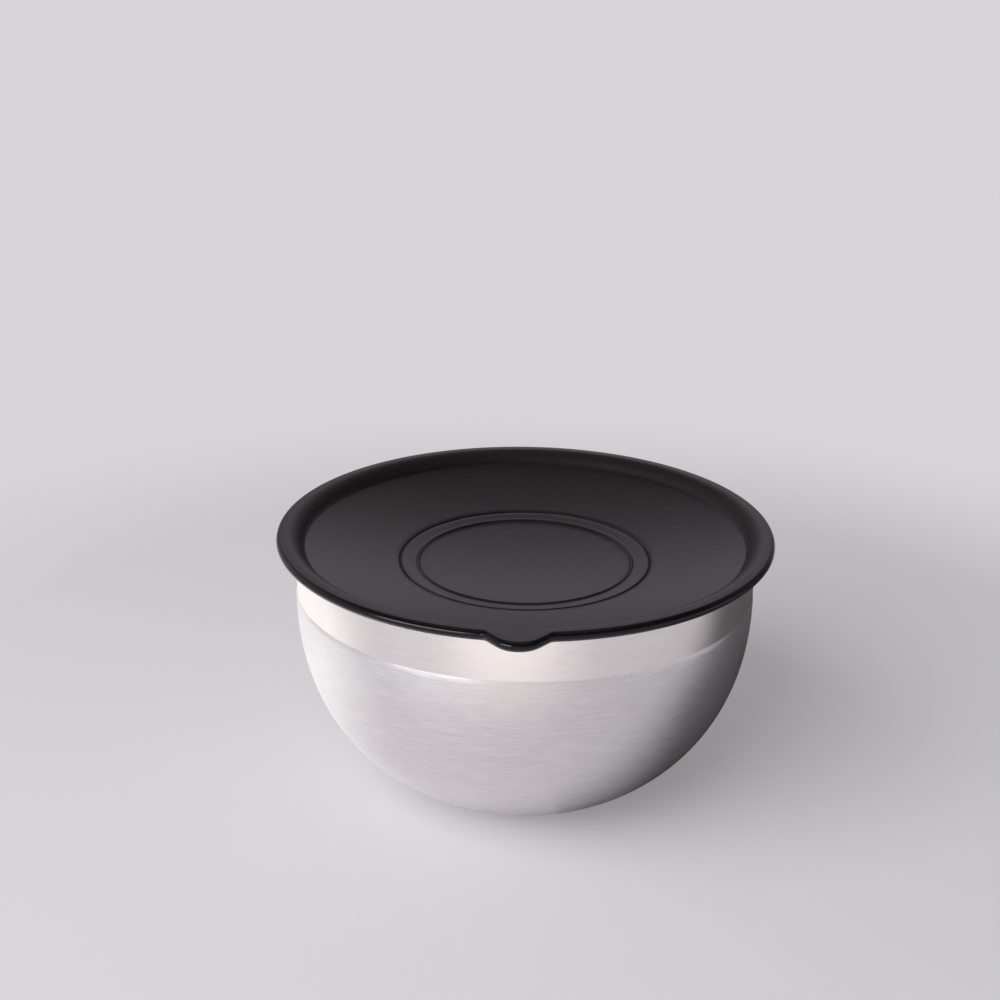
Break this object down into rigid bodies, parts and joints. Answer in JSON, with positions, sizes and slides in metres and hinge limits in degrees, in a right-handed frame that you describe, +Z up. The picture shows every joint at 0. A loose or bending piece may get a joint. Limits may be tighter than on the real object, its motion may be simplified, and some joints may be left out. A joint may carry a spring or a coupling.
{
  "type": "lidded storage bowl",
  "caption": "Deep round steel bowl with a straight collar, rolled rim and flat base, closed by a dished plastic snap lid with a pull tab.",
  "frame": {"origin": "centre of the flat base, on the surface that the bowl stands on", "axes": "+Z up along the bowl's axis, -Y towards the lid's pull tab"},
  "size_m": [0.2374, 0.2469, 0.1279],
  "materials": {
    "brushed_steel": "satin, fine hairlines round the axis",
    "lid_plastic": "fine matte grain, smoother round edge"
  },
  "bodies": {
    "bowl": {"bowl_shell": "brushed_steel"},
    "lid": {"snap_lid": "lid_plastic"}
  },
  "joints": [
    {"name": "lid_lift", "type": "slide", "parent": "bowl", "child": "lid", "axis": [0, 0, 1], "range_m": [0, 0.15]}
  ]
}
